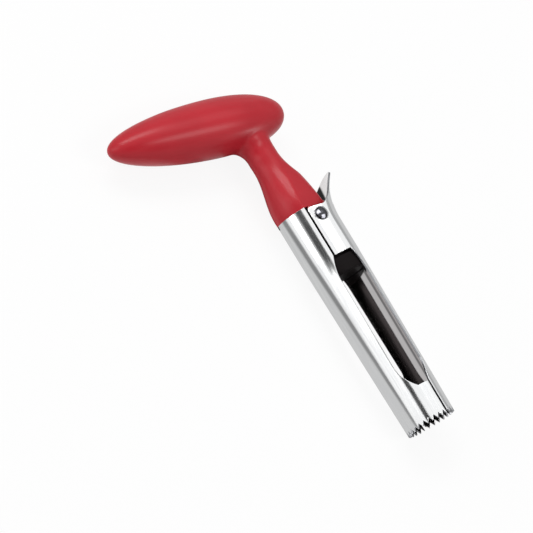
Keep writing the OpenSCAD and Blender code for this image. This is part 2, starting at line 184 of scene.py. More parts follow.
# %% Neck of the grip
barrel_r = 12.5
waist_r = 6.75
waist_rise = 27.5
waist_back = 2.9
neck_below = 4.0
neck_top = 42.0
ring_step = 0.5


def neck_radius(above):
    share = min(1, max(0, above / waist_rise))
    return waist_r + (barrel_r - waist_r) * (1 + math.cos(math.pi * share)) / 2


def neck_shift(above):
    return -waist_back * min(1, max(0, above / waist_rise))


neck = begin("neck", bpy.ops.mesh.primitive_circle_add, vertices=180, radius=barrel_r * MM,
             fill_type="NGON", location=at(0, -neck_below), rotation=(math.pi / 2, 0, 0))
bpy.ops.object.transform_apply()
bpy.ops.object.mode_set(mode="EDIT")
bpy.ops.mesh.select_all(action="SELECT")
ring_count = int((neck_top + neck_below) / ring_step) + 1
heights = [-neck_below + ring_step * step for step in range(ring_count)]
for below, above in zip(heights, heights[1:]):
    shift = neck_shift(above) - neck_shift(below)
    size = neck_radius(above) / neck_radius(below)
    bpy.ops.mesh.extrude_region_move(
        TRANSFORM_OT_translate={"value": (shift * MM, ring_step * MM, 0)})
    bpy.ops.transform.resize(value=(size, 1, size), center_override=at(neck_shift(above), above))
bpy.ops.object.mode_set(mode="OBJECT")
print("neck rings:", len(heights))

# %% [markdown]
# Three shapes are worked into the bar as a carver would, by pushing its points in or out.
# In front a round nose leaves room for the hinged half of the barrel and narrows as it rises.
# On each side a facet starts at the barrel's seam and dies out below the waist.
# Near the top the rear flares out, because the real fillet under the egg is wide there
# and tight in front.

# %% Nose, facets and flare
nose_r, nose_lean, nose_curve, nose_end = 10.1, 0.09, 0.004, 18.0
facet_turn = math.radians(72)
facet_r, facet_lean, facet_curve, facet_end = 8.976, 0.02, 0.00024, 20.0
fade_depth, fade_h = 0.28, 4.0
flare_start, flare_r, flare_share = 30.0, 8.5, 0.8


def nose_radius(above):
    above = max(0, above)
    return nose_r - nose_lean * above - nose_curve * above ** 2


def facet_reach(above):
    """Distance of a facet from the barrel's axis: it leans in, and fades out above its end."""
    above = max(0, above)
    if above <= facet_end:
        return facet_r - facet_lean * above - facet_curve * above ** 3
    uncut = neck_radius(above) + neck_shift(above) * math.cos(facet_turn)
    return uncut - fade_depth * max(0, 1 - (above - facet_end) / fade_h)


for vertex in neck.data.vertices:
    out = (vertex.co - at(0, 0)) / MM
    above = out.y
    reach = math.hypot(out.x, out.z)
    in_front = above < nose_end and abs(math.atan2(out.z, out.x)) < facet_turn
    if in_front and reach > nose_radius(above):
        out.x *= nose_radius(above) / reach
        out.z *= nose_radius(above) / reach
    for side in (-1, 1):
        facing = Vector((math.cos(facet_turn), 0, side * math.sin(facet_turn)))
        over = out.x * facing.x + out.z * facing.z - facet_reach(above)
        if over > 0:
            out -= over * facing
    if above > flare_start:
        rise = min(above - flare_start, flare_share * flare_r)
        flare = flare_r - math.sqrt(flare_r ** 2 - rise ** 2)
        outwards = Vector((out.x - neck_shift(above), 0, out.z)).normalized()
        out += outwards * flare * (1 - outwards.x) / 2
    vertex.co = at(0, 0) + out * MM
print("neck:", len(neck.data.polygons), "faces")

# %% [markdown]
# The real handle is one moulding, so egg and neck become one skin.
# A voxel remesh melts the two closed shapes into one. A vertex group round the root of the neck
# is then smoothed until the sharp corner has turned into a fillet, and a lighter smoothing of the whole
# skin takes away the remesh's steps and rounds the facets' creases as a mould does.
# A last bisect at the rim leaves the flat face that sits on the barrel.

# %% One skin
voxel = 0.4
root_above, root_r, root_top = 35.5, 8.0, 41.0
root_full, root_end = 4.0, 7.0

pick(grip, neck)
bpy.ops.object.join()
finish_with(grip, "REMESH", mode="VOXEL", voxel_size=voxel * MM)

root = grip.vertex_groups.new(name="root")
for vertex in grip.data.vertices:
    out = (vertex.co - at(-waist_back, root_above)) / MM
    away = math.hypot(math.hypot(out.x, out.z) - root_r, out.y)
    weight = min(1, max(0, (root_end - away) / (root_end - root_full)))
    if weight > 0 and out.y < root_top - root_above:
        root.add([vertex.index], weight, "REPLACE")
finish_with(grip, "SMOOTH", factor=0.5, iterations=70, vertex_group="root")
finish_with(grip, "SMOOTH", factor=0.5, iterations=8)
bpy.ops.object.mode_set(mode="EDIT")
bpy.ops.mesh.select_all(action="SELECT")
bpy.ops.mesh.bisect(plane_co=at(0, 0), plane_no=(0, 1, 0), use_fill=True, clear_inner=True)
bpy.ops.object.mode_set(mode="OBJECT")
grip.vertex_groups.clear()
print("skin:", len(grip.data.polygons), "faces")

# %% [markdown]
# In front the moulding goes on below the rim, behind the ears of the hinged half, so that no gap shows.
# This skirt is bent out of a flat grid: its points follow the nose and the facets round the axis.
# Thickened inwards it becomes a closed strip, which joins the grip.

# %% Skirt behind the ears
skirt_h, skirt_wall, rim_gap = 2.2, 0.4, 0.02
skirt_turn = math.radians(108)
behind_nose, before_facet, least_lean = 0.05, 0.08, 0.1
crease = math.radians(40)


def skirt_reach(turn):
    """Distance of the skirt from the barrel's axis: that of the nose, or of a facet if it is nearer."""
    lean = max(least_lean, math.cos(abs(turn) - facet_turn))
    return min(nose_radius(0) - behind_nose, (facet_reach(0) + before_facet) / lean)


skirt = begin("skirt", bpy.ops.mesh.primitive_grid_add, size=2, x_subdivisions=72, y_subdivisions=2)
for vertex in skirt.data.vertices:
    turn = vertex.co.x * skirt_turn
    reach = skirt_reach(turn)
    above = between(-skirt_h, -rim_gap, (vertex.co.y + 1) / 2)
    vertex.co = at(reach * math.cos(turn), above, reach * math.sin(turn))
finish_with(skirt, "SOLIDIFY", thickness=skirt_wall * MM, offset=-1)
pick(grip, skirt)
bpy.ops.object.join()
bpy.ops.object.mode_set(mode="EDIT")
bpy.ops.mesh.select_all(action="SELECT")
bpy.ops.mesh.normals_make_consistent(inside=False)
bpy.ops.object.mode_set(mode="OBJECT")
bpy.ops.object.shade_smooth_by_angle(angle=crease)
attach(grip, "handle")
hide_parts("grip")
print("palm grip:", len(grip.data.polygons), "faces")

# %% [markdown]
# The barrel is stainless sheet: a maker cuts each half flat, with its teeth and its window edge,
# and rolls it round a mandrel. The same is done here. A flat grid is laid out as the blank,
# across it the turn round the barrel and along it the height, so its edge rows follow the real outline.
# The wall, the finer edges and the finish of each face come after the rolling.

# %% Helpers for rolled sheet
wall, edge_bevel = 0.9, 0.12
merge_within = 0.02
mouth_r = 11.35
barrel_h = (rim_y - mouth_y) / MM
taper_top = 83.6
tooth_count, tooth_h, tooth_columns = 28, 2.2, 4
tooth_pitch = 2 * math.pi / tooth_count
OUTSIDE, INSIDE, EDGE, SEAT = range(4)


def radius_at(height):
    return mouth_r + (barrel_r - mouth_r) * min(1, height / taper_top)


def tooth_at(turn):
    """Height of the toothed edge: nothing at a tip, and most half way to the next tip."""
    return tooth_h * (1 - abs(2 * (turn / tooth_pitch % 1) - 1))


def blank(name, columns, rows, place):
    """A flat grid whose points go where place(column, row) says: a turn and a height."""
    piece = begin(name, bpy.ops.mesh.primitive_grid_add, size=2,
                  x_subdivisions=2 * columns, y_subdivisions=rows)
    for vertex in piece.data.vertices:
        turn, height = place(round(vertex.co.x * columns), round((vertex.co.y + 1) / 2 * rows))
        vertex.co = (turn * barrel_r * MM, height * MM, 0)
    return piece


def joined(whole, *others):
    """Joins grids to the first one and merges the points where they meet."""
    pick(whole, *others)
    bpy.ops.object.join()
    bpy.ops.object.mode_set(mode="EDIT")
    bpy.ops.mesh.select_all(action="SELECT")
    bpy.ops.mesh.remove_doubles(threshold=merge_within * MM)
    bpy.ops.object.mode_set(mode="OBJECT")


def rolled(piece, middle, bend):
    """Rolls a blank about the barrel's axis, its middle line at a turn from the front."""
    for vertex in piece.data.vertices:
        turn = middle + vertex.co.x / (barrel_r * MM)
        height = vertex.co.y / MM
        forward, side = radius_at(height) * math.cos(turn), radius_at(height) * math.sin(turn)
        vertex.co = at(bend(forward, height), height - barrel_h, side)
    bpy.ops.object.mode_set(mode="EDIT")
    bpy.ops.mesh.select_all(action="SELECT")
    bpy.ops.mesh.normals_make_consistent(inside=False)
    bpy.ops.object.mode_set(mode="OBJECT")
    face = piece.data.polygons[0]
    out = face.center - at(0, 0)
    if face.normal.x * out.x + face.normal.z * out.z < 0:
        piece.data.flip_normals()


def thickened(piece):
    """Gives the sheet its wall, inwards, with slots for its outside, its inside and its cut edge."""
    for slot in (OUTSIDE, INSIDE, EDGE):
        piece.data.materials.append(None)
    finish_with(piece, "SOLIDIFY", thickness=wall * MM, offset=-1,
                material_offset=INSIDE, material_offset_rim=EDGE)
    bpy.ops.object.shade_smooth()
    finish_with(piece, "BEVEL", limit_method="ANGLE", angle_limit=crease,
                width=edge_bevel * MM, segments=2, use_clamp_overlap=False)
    finish_with(piece, "WEIGHTED_NORMAL", keep_sharp=True)


print("barrel:", round(barrel_h, 1), "mm long, a tooth every", round(tooth_pitch * mouth_r, 2), "mm")

# %% [markdown]
# The fixed half carries more than half of the toothed ring. Above the ring its edge sweeps back
# and leaves the window, then arches forward to the seam along which the hinged half lies.
# The ring and the strip above it are two grids whose points meet at the ring's top,
# where they are merged.

# %% Fixed half of the barrel
ring_h = 16.2
ring_seam = 2.4
ring_heights = (0, 4, 8, 12, ring_h)
window_z = 82.2
window_back = 7.6
sweep_r = 17.5
curve_h = 12.0
arch_r = 30.0
fixed_edge = 5.5
beside_window = (39, 50, 60)
along_seam = (taper_top, 91, 99, barrel_h)
ring_columns, fixed_columns = 32, 24
curve_steps = 8


def turn_from_back(back, height):
    return math.acos(back / radius_at(height))


# Each row of the strip is a height, and how far behind the axis its edges lie there.
sweep_turn = math.asin(curve_h / sweep_r)
fixed_rows = []
for step in range(curve_steps + 1):
    angle = sweep_turn * (1 - step / curve_steps)
    fixed_rows.append((ring_h + curve_h - sweep_r * math.sin(angle),
                       window_back - sweep_r * (1 - math.cos(angle))))
fixed_rows += [(height, window_back) for height in beside_window]
arch_turn = math.acos(1 - (window_back - fixed_edge) / arch_r)
for step in range(curve_steps + 1):
    angle = arch_turn * step / curve_steps
    fixed_rows.append((window_z - arch_r * (math.sin(arch_turn) - math.sin(angle)),
                       window_back - arch_r * (1 - math.cos(angle))))
fixed_rows += [(height, fixed_edge) for height in along_seam]


def on_fixed_strip(column, row):
    height, back = fixed_rows[row]
    return turn_from_back(back, height) * column / fixed_columns, height


def on_fixed_ring(column, row):
    height = ring_heights[row]
    inner = on_fixed_strip(fixed_columns, 0)[0]
    outer = turn_from_back(-ring_seam, height)
    past = max(0, abs(column) - fixed_columns) / (ring_columns - fixed_columns)
    turn = math.copysign(min(abs(column), fixed_columns) / fixed_columns * inner
                         + past * (outer - inner), column)
    if row == 0:
        turn = math.copysign(min(abs(column) * tooth_pitch / tooth_columns, outer), column)
        height = tooth_at(turn)
    return turn, height


fixed_half = blank("fixed_half", ring_columns, len(ring_heights) - 1, on_fixed_ring)
joined(fixed_half, blank("strip", fixed_columns, len(fixed_rows) - 1, on_fixed_strip))
rolled(fixed_half, math.pi, lambda forward, height: forward)
thickened(fixed_half)
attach(fixed_half, "handle")
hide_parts("fixed_blade")
print("fixed half:", len(fixed_half.data.polygons), "faces")

# %% [markdown]
# The hinged half is the other piece of the ring, a strip in front of the windows, two ears that the
# rivet passes through, and a tongue that bends forward as the thumb tab. Ears and tongue are one grid
# whose columns end on the outline, so that outline is worked out first, in the flat.
# Above the bend every point swings forward about a line in front of the barrel.

# %% Hinged half: its outline
ring_edge = 3.5
shoulder_z = 15.2
window_front = 6.9
arch_h = 12.7
corner_r = 1.0
ear_back = 4.7
ear_top = 105.6
ear_corner_r = 1.6
tab_root, tab_z = 5.0, 104.3
tip_r, tip_z = 5.0, 117.2
bend_z, bend_r = 96.4, 27.0
bend_axis = bend_r + barrel_r
tip_side, tongue_side, tongue_slope = 3.97, 12.356, 1.304
tongue_columns, hinged_columns, slope_columns, ear_columns = 21, 22, 31, 37
rounding_passes, rounding_reach = 3, 4


def bent(forward, height):
    if height <= bend_z:
        return forward
    reach = bend_axis - forward
    return bend_axis - math.sqrt(reach ** 2 - (height - bend_z) ** 2)


def turn_from_front(forward, height):
    if height <= bend_z:
        return math.acos(forward / radius_at(height))
    return math.acos((bend_axis - math.hypot(bend_axis - forward, height - bend_z)) / barrel_r)


def tongue_top(turn):
    """Height of the tongue's outline: a round tip between two sides that spread to the ears."""
    side = barrel_r * math.sin(abs(turn))
    if side < tip_side:
        return tip_z - tip_r + math.sqrt(tip_r ** 2 - side ** 2)
    return tab_z + (tongue_side - side) * tongue_slope


def ear_point(column):
    """Place on the ears' outline, forward of the axis and in height, where a column ends."""
    slope = math.atan((ear_top - tab_z) / (tab_root + ear_back))
    corner = Vector((ear_corner_r - ear_back, ear_top - ear_corner_r))
    arc_start = math.pi / 2 - slope
    if column > slope_columns:
        share = (column - slope_columns) / (ear_columns - slope_columns)
        angle = between(arc_start, math.pi, share)
        return corner + ear_corner_r * Vector((math.cos(angle), math.sin(angle)))
    end = corner + ear_corner_r * Vector((math.cos(arc_start), math.sin(arc_start)))
    share = (column - tongue_columns) / (slope_columns - tongue_columns)
    return Vector((tab_root, tab_z)).lerp(end, share)


corner_turn = math.asin((arch_h - corner_r) / (arch_r - corner_r))
corner_x = window_front - arch_r + (arch_r - corner_r) * math.cos(corner_turn)
root_turn = turn_from_front(tab_root, tab_z)
tops = [tongue_top(root_turn * column / tongue_columns) for column in range(tongue_columns + 1)]
tops += [ear_point(column).y for column in range(tongue_columns + 1, ear_columns + 1)]
# The notch between tongue and ears is eased a little, as a punch leaves it.
for rounding in range(rounding_passes):
    tops = [(tops[column - 1] + 2 * tops[column] + tops[column + 1]) / 4
            if abs(column - tongue_columns) < rounding_reach else tops[column]
            for column in range(len(tops))]
print("tip of the tongue at", round(tops[0], 1), "mm, ears at", round(tops[slope_columns], 1), "mm")

# %% [markdown]
# The blank is cut from two grids. The strip narrows along the window and ends in the teeth.
# The block above it has more columns, for the ears; its middle columns go on from the strip's,
# and the points that meet at the top of the windows are merged before the whole blank is rolled.

# %% Hinged half: blank and rolling
block_rows, corner_steps = 22, 6
before_window = (38, 49, 60)


def on_block(column, row):
    count, rise = abs(column), row / block_rows
    height = between(window_z, tops[count], rise)
    if count <= tongue_columns:
        low_turn = turn_from_front(corner_x, window_z) * count / hinged_columns
        turn = between(low_turn, root_turn * count / tongue_columns, rise)
    else:
        share = (count - hinged_columns) / (ear_columns - hinged_columns)
        low = between(corner_x, -ear_back, share)
        turn = turn_from_front(between(low, ear_point(count).x, rise), height)
    return math.copysign(turn, column), height


# Each row of the strip is a height, and how far in front of the axis its edges lie there.
hinged_rows = [(height, ring_edge) for height in ring_heights[:-1]]
for step in range(curve_steps + 1):
    share = step / curve_steps
    eased = (1 - math.cos(math.pi * share)) / 2
    hinged_rows.append((shoulder_z + curve_h * share, between(ring_edge, window_front, eased)))
hinged_rows += [(height, window_front) for height in before_window]
for step in range(curve_steps):
    angle = corner_turn * step / curve_steps
    hinged_rows.append((window_z - arch_h + arch_r * math.sin(angle),
                        window_front - arch_r * (1 - math.cos(angle))))
for step in range(corner_steps + 1):
    angle = between(corner_turn, math.pi / 2, step / corner_steps)
    hinged_rows.append((window_z - corner_r * (1 - math.sin(angle)),
                        corner_x + corner_r * math.cos(angle)))


def on_hinged_strip(column, row):
    height, forward = hinged_rows[row]
    edge = turn_from_front(forward, height)
    if row > 0:
        return edge * column / hinged_columns, height
    turn = column * tooth_pitch / tooth_columns
    if abs(column) == hinged_columns:
        turn = math.copysign(edge, column)
    return turn, tooth_at(turn)


hinged_half = blank("hinged_half", ear_columns, block_rows, on_block)
joined(hinged_half, blank("strip", hinged_columns, len(hinged_rows) - 1, on_hinged_strip))
rolled(hinged_half, 0, bent)
thickened(hinged_half)
print("hinged half:", len(hinged_half.data.polygons), "faces")

# %% [markdown]
# Each rivet head sits on a small flat that is milled into the ear, over the hole for the pin.
# Both are cut with a drill: a stepped cylinder, thin to the seat's depth and wide outside it.
# A boolean takes it out of the finished sheet, so the fine bevel of the edges isn't disturbed.

# %% Seats and holes for the rivet
seat_out, seat_r, seat_margin = 12.15, 3.3, 0.02
hole_r, hole_depth, drill_rise = 1.95, 5.0, 2.0
faces_out = 0.9
for side in (-1, 1):
    seat = hinge + Vector((0, 0, side * seat_out * MM))
    half_way = hinge + Vector((0, 0, side * (seat_out - hole_depth / 2) * MM))
    drill = begin("drill", bpy.ops.mesh.primitive_cylinder_add, vertices=96, radius=hole_r * MM,
                  depth=hole_depth * MM, location=half_way)
    bpy.ops.object.transform_apply()
    bpy.ops.object.mode_set(mode="EDIT")
    bpy.ops.mesh.select_mode(type="FACE")
    bpy.ops.mesh.select_all(action="DESELECT")
    bpy.ops.object.mode_set(mode="OBJECT")
    for face in drill.data.polygons:
        face.select = face.normal.z * side > faces_out
    bpy.ops.object.mode_set(mode="EDIT")
    bpy.ops.mesh.extrude_region_move()
    bpy.ops.transform.resize(value=[seat_r / hole_r] * 3, center_override=seat)
    bpy.ops.mesh.extrude_region_move(
        TRANSFORM_OT_translate={"value": (0, 0, side * drill_rise * MM)})
    bpy.ops.mesh.select_mode(type="VERT")
    bpy.ops.object.mode_set(mode="OBJECT")
    finish_with(hinged_half, "BOOLEAN", object=drill, operation="DIFFERENCE", solver="EXACT")
    bpy.data.objects.remove(drill)
# The seat faces get their own slot; its darker grey is painted shade round the rivet head.
hinged_half.data.materials.append(None)
for face in hinged_half.data.polygons:
    away = face.center - hinge
    if math.hypot(away.x, away.y) < (seat_r + seat_margin) * MM:
        face.material_index = SEAT
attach(hinged_half, "lever")
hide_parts("hinged_blade")
print("hinged half with its seats:", len(hinged_half.data.polygons), "faces")

# %% [markdown]
# A torsion spring round the pin pushes the tab outwards. It is wound from round wire:
# one leg lies in the plug, four turns follow, and the other leg lies against the tab.
# A curve through those places gets a round section and is turned into a mesh.

# %% Torsion spring
wire_d, coil_r, coil_pitch = 0.9, 3.2, 1.35
coil_turn = math.radians(1476.2)
plug_leg, tab_leg = -7.5, (12.4, -0.6)
coil_side = coil_pitch * coil_turn / (4 * math.pi)
coil_steps, wire_merge = 200, 0.001
hinge_above = (hinge.y - rim_y) / MM
wire = [at(plug_leg, hinge_above - coil_r, coil_side)]
for step in range(coil_steps + 1):
    turn = coil_turn * step / coil_steps - math.pi / 2
    wire.append(at(coil_r * math.cos(turn), hinge_above + coil_r * math.sin(turn),
                   between(coil_side, -coil_side, step / coil_steps)))
wire.append(at(*tab_leg, -coil_side))
spring = begin("spring", bpy.ops.curve.primitive_nurbs_path_add)
spring.data.splines.clear()
thread = spring.data.splines.new("POLY")
thread.points.add(len(wire) - 1)
for point, place in zip(thread.points, wire):
    point.co = (*place, 1)
spring.data.bevel_depth = wire_d / 2 * MM
spring.data.bevel_resolution = 3
spring.data.use_fill_caps = True
bpy.ops.object.convert(target="MESH")
spring = bpy.context.active_object
bpy.ops.object.mode_set(mode="EDIT")
bpy.ops.mesh.select_all(action="SELECT")
bpy.ops.mesh.remove_doubles(threshold=wire_merge * MM)
bpy.ops.mesh.normals_make_consistent(inside=False)
bpy.ops.object.mode_set(mode="OBJECT")
bpy.ops.object.shade_smooth_by_angle(angle=crease)
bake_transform(spring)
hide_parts("torsion_spring")
print("torsion spring:", len(spring.data.polygons), "faces")

# %% [markdown]
# Finishes are node trees. `linear` turns a colour that was read as sRGB into the linear values
# that shaders work in, and `add` makes one node with its settings and its links.
# `finish` starts a material, `grade` sets the stops of a colour ramp, and `wear` puts a material
# on pieces.

# %% Helpers for finishes
def linear(colour):
    shares = [int(colour[i:i + 2], 16) / 255 for i in (1, 3, 5)]
    return [s / 12.92 if s <= 0.04045 else ((s + 0.055) / 1.055) ** 2.4 for s in shares] + [1]


def add(tree, kind, inputs=None, **settings):
    made = tree.nodes.new("ShaderNode" + kind)
    for name, value in settings.items():
        setattr(made, name, value)
    for name, value in (inputs or {}).items():
        if isinstance(value, bpy.types.NodeSocket):
            tree.links.new(value, made.inputs[name])
        else:
            made.inputs[name].default_value = value
    return made


def finish(name):
    material = bpy.data.materials.new(name)
    material.use_nodes = True
    material.node_tree.nodes.clear()
    return material, material.node_tree


def grade(ramp, *stops):
    elements = ramp.color_ramp.elements
    while len(elements) < len(stops):
        elements.new(0.5)
    for element, (position, colour) in zip(elements, stops):
        element.position, element.color = position, colour


def wear(material, *pieces, slot=0):
    for piece in pieces:
        while len(piece.data.materials) <= slot:
            piece.data.materials.append(None)
        piece.data.materials[slot] = material


print("mid grey #808080 in linear light:", round(linear("#808080")[0], 3))

# %% [markdown]
# The handle is moulded polypropylene. A spark-eroded mould leaves a satin skin:
# a soft sheen, a very fine grain and a faint drift in tone where the melt flowed.
# The core that shows deep in the windows is glass-filled black nylon, duller and with a coarser grain.
# Real grain is about 0.1 mm; it is drawn at 0.5 mm or more so that it shows at all.

# %% Moulded plastics
flow_mm = 22


def moulded(name, light, dark, grain_mm, rough, sheen):
    material, tree = finish(name)
    place = add(tree, "TexCoord").outputs["Object"]
    flow = add(tree, "TexNoise", {"Vector": place, "Scale": 1 / (flow_mm * MM), "Detail": 2.0})
    grain = add(tree, "TexNoise", {"Vector": place, "Scale": 1 / (grain_mm * MM), "Detail": 3.0})
    tone = add(tree, "ValToRGB", {"Fac": flow.outputs["Fac"]})
    grade(tone, (0.3, linear(dark)), (0.7, linear(light)))
    gloss = add(tree, "MapRange", {"Value": grain.outputs["Fac"], "From Min": 0.3, "From Max": 0.7,
                                   "To Min": rough - 0.05, "To Max": rough + 0.05})
    bump = add(tree, "Bump", {"Height": grain.outputs["Fac"], "Strength": 0.12, "Distance": 0.03 * MM})
    skin = add(tree, "BsdfPrincipled", {
        "Base Color": tone.outputs["Color"], "Roughness": gloss.outputs["Result"],
        "Normal": bump.outputs["Normal"], "IOR": 1.49, "Specular IOR Level": 0.05,
        "Coat Weight": sheen, "Coat Roughness": 0.28, "Coat IOR": 1.49})
    add(tree, "OutputMaterial", {"Surface": skin.outputs["BSDF"]})
    return material


nodes = frame["nodes"]
red = moulded("satin_red_polypropylene", "#B92530", "#AD1F2A", 0.5, 0.45, 0.42)
black = moulded("black_glass_filled_nylon", "#161213", "#110E0E", 0.8, 0.55, 0.02)
wear(red, grip, nodes["grip"])
wear(black, nodes["handle_core"])
print("moulded:", red.name, "and", black.name)

# %% [markdown]
# The barrel is rolled stainless sheet, polished along its length on the outside. Polishing leaves hair
# lines that run with the barrel, so the noise is stretched along Y. Real lines are some 0.05 mm apart;
# they are drawn at 0.3 mm, faintly, so that they show. The inside of a rolled sheet is out of reach
# and keeps the grey of the mill. Inside the fixed half that grey is painted dark: painted shade,
# for the dark that fills the tube.

# %% Stainless steel
cloud_mm = 14
along_stretch = 0.012


def stainless(name, light, dark, rough, line_mm, depth):
    material, tree = finish(name)
    place = add(tree, "TexCoord").outputs["Object"]
    drawn = add(tree, "Mapping", {"Vector": place, "Scale": (1, along_stretch, 1)})
    lines = add(tree, "TexNoise", {"Vector": drawn.outputs["Vector"], "Scale": 1 / (line_mm * MM),
                                   "Detail": 4.0})
    cloud = add(tree, "TexNoise", {"Vector": place, "Scale": 1 / (cloud_mm * MM), "Detail": 3.0})
    both = add(tree, "Math", {0: lines.outputs["Fac"], 1: cloud.outputs["Fac"]}, operation="ADD")
    gloss = add(tree, "MapRange", {"Value": both.outputs["Value"], "From Min": 0.7, "From Max": 1.3,
                                   "To Min": rough - 0.03, "To Max": rough + 0.04})
    tone = add(tree, "ValToRGB", {"Fac": lines.outputs["Fac"]})
    grade(tone, (0.3, linear(dark)), (0.6, linear(light)))
    bump = add(tree, "Bump", {"Height": lines.outputs["Fac"], "Strength": depth, "Distance": 0.01 * MM})
    metal = add(tree, "BsdfPrincipled", {
        "Base Color": tone.outputs["Color"], "Metallic": 1.0, "Roughness": gloss.outputs["Result"],
        "Normal": bump.outputs["Normal"]})
    add(tree, "OutputMaterial", {"Surface": metal.outputs["BSDF"]})
    return material


polished = stainless("polished_stainless", "#F5F6F6", "#E9EAEC", 0.13, 0.3, 0.02)
# The fixed half's inside is painted dark grey: painted shade for the dark inside the tube.
shaded_inside = stainless("painted_shade_inside_of_the_sheet", "#3A3636", "#2C2929", 0.20, 0.4, 0.03)
mill_grey = stainless("mill_grey_inside_of_the_sheet", "#E4E1E1", "#D6D3D3", 0.09, 0.4, 0.02)
sheared = stainless("sheared_edge_of_the_sheet", "#929396", "#7A7B7E", 0.28, 0.2, 0.06)
# The seat's darker grey is painted shade, as in the gap round a rivet head.
milled = stainless("milled_seat_with_painted_shade", "#8A8A8C", "#77777A", 0.30, 0.2, 0.06)
drawn_steel = stainless("drawn_spring_steel", "#A9ABAF", "#8F9195", 0.30, 0.3, 0.10)
wear(polished, fixed_half, hinged_half, nodes["fixed_blade"], nodes["hinged_blade"])
wear(shaded_inside, fixed_half, slot=INSIDE)
wear(mill_grey, hinged_half, slot=INSIDE)
wear(sheared, fixed_half, hinged_half, slot=EDGE)
wear(milled, hinged_half, slot=SEAT)
wear(drawn_steel, nodes["tang"], nodes["torsion_spring"], spring)
print("sheet finishes:", [slot.name for slot in hinged_half.data.materials])

# %% [markdown]
# The rivet was set with a snap tool, and its dome was polished by hand. Its steel is painted dark grey,
# so that the spots of the two lamps linked to it stand out, and almost black at the rim: painted shade,
# as in the groove round a set head. A round gradient about the pin's axis gives that ring; it ends at 3
# mm, just outside the dome's rim. Fine rubbed spots, drawn 0.8 mm wide so that they show, break up the
# shine.

# %% Rivet steel
ring_mm, rub_mm = 3, 0.8
rivet_steel, tree = finish("rivet_steel_with_painted_shade_rim")
place = add(tree, "TexCoord").outputs["Object"]
centred = add(tree, "Mapping", {"Vector": place, "Location": hinge,
                                "Scale": (ring_mm * MM, ring_mm * MM, 1)}, vector_type="TEXTURE")
# The ring of painted shade: near black at the rim, dark grey within.
ring = add(tree, "TexGradient", {"Vector": centred.outputs["Vector"]}, gradient_type="SPHERICAL")
tone = add(tree, "ValToRGB", {"Fac": ring.outputs["Fac"]})
grade(tone, (0.14, linear("#222224")), (0.26, linear("#4C4C50")))
rubbed = add(tree, "TexNoise", {"Vector": place, "Scale": 1 / (rub_mm * MM), "Detail": 2.0})
gloss = add(tree, "MapRange", {"Value": rubbed.outputs["Fac"], "To Min": 0.10, "To Max": 0.18})
metal = add(tree, "BsdfPrincipled", {"Base Color": tone.outputs["Color"], "Metallic": 1.0,
                                     "Roughness": gloss.outputs["Result"]})
add(tree, "OutputMaterial", {"Surface": metal.outputs["BSDF"]})
wear(rivet_steel, nodes["hinge_pin"], nodes["pin_cap"])
print("rivet:", rivet_steel.name)

# %% [markdown]
# The two bushes are turned from natural acetal: a milky off-white, slightly waxy, with a faint
# cloudiness some 3 mm across. They sit behind the ears, so a plain finish does.

# %% Acetal bushes
milk_mm = 3
acetal, tree = finish("natural_acetal")
place = add(tree, "TexCoord").outputs["Object"]
milk = add(tree, "TexNoise", {"Vector": place, "Scale": 1 / (milk_mm * MM), "Detail": 2.0})
tone = add(tree, "ValToRGB", {"Fac": milk.outputs["Fac"]})
grade(tone, (0, linear("#DAD5C8")), (1, linear("#E6E2D8")))
waxy = add(tree, "BsdfPrincipled", {"Base Color": tone.outputs["Color"], "Roughness": 0.42,
                                    "IOR": 1.48})
add(tree, "OutputMaterial", {"Surface": waxy.outputs["BSDF"]})
wear(acetal, nodes["bush_near"], nodes["bush_far"])
print("bushes:", acetal.name)

# %% [markdown]
# The studio is a white table under a white sky. Camera and glass rays see both as white, and mirror
# rays see the white sky over a slightly greyer table, painted shade for the table in the tool's own
# shade, while the light that falls on the tool stays at a plain level.
# The table still takes the shadow, because only part of its white is its own glow.

# %% Table and sky
table_glow = 0.9
# The greyer table in the mirror is painted shade.
table_in_mirror = 0.6
sky_level = 0.30

table = begin("table", bpy.ops.mesh.primitive_plane_add, size=12, location=(0, 0, 0))
white, tree = finish("white_table")
path = add(tree, "LightPath").outputs
seen = add(tree, "Math", {0: path["Is Camera Ray"], 1: path["Is Transmission Ray"]},
           operation="MAXIMUM")
glow = add(tree, "Emission", {"Color": (1, 1, 1, 1), "Strength": 1.0})
mirrored = add(tree, "Emission", {"Color": (1, 1, 1, 1), "Strength": table_in_mirror})
paint = add(tree, "BsdfDiffuse", {"Color": linear("#F4F4F4")})
lit = add(tree, "Math", {0: seen.outputs["Value"], 1: table_glow}, operation="MULTIPLY")
direct = add(tree, "MixShader", {0: lit.outputs["Value"], 1: paint.outputs["BSDF"],
                                 2: glow.outputs["Emission"]})
both = add(tree, "MixShader", {0: path["Is Glossy Ray"], 1: direct.outputs["Shader"],
                               2: mirrored.outputs["Emission"]})
add(tree, "OutputMaterial", {"Surface": both.outputs["Shader"]})
wear(white, table)

world = bpy.data.worlds.new("sky")
bpy.context.scene.world = world
world.use_nodes = True
tree = world.node_tree
tree.nodes.clear()
path = add(tree, "LightPath").outputs
seen = add(tree, "Math", {0: path["Is Camera Ray"], 1: path["Is Glossy Ray"]}, operation="MAXIMUM")
seen = add(tree, "Math", {0: seen.outputs["Value"], 1: path["Is Transmission Ray"]},
           operation="MAXIMUM")
level_of = add(tree, "MapRange", {"Value": seen.outputs["Value"], "To Min": sky_level, "To Max": 1.0})
sky = add(tree, "Background", {"Color": (1, 1, 1, 1), "Strength": level_of.outputs["Result"]})
add(tree, "OutputWorld", {"Surface": sky.outputs["Background"]})
print("table and sky: white to the camera, sky light", sky_level)

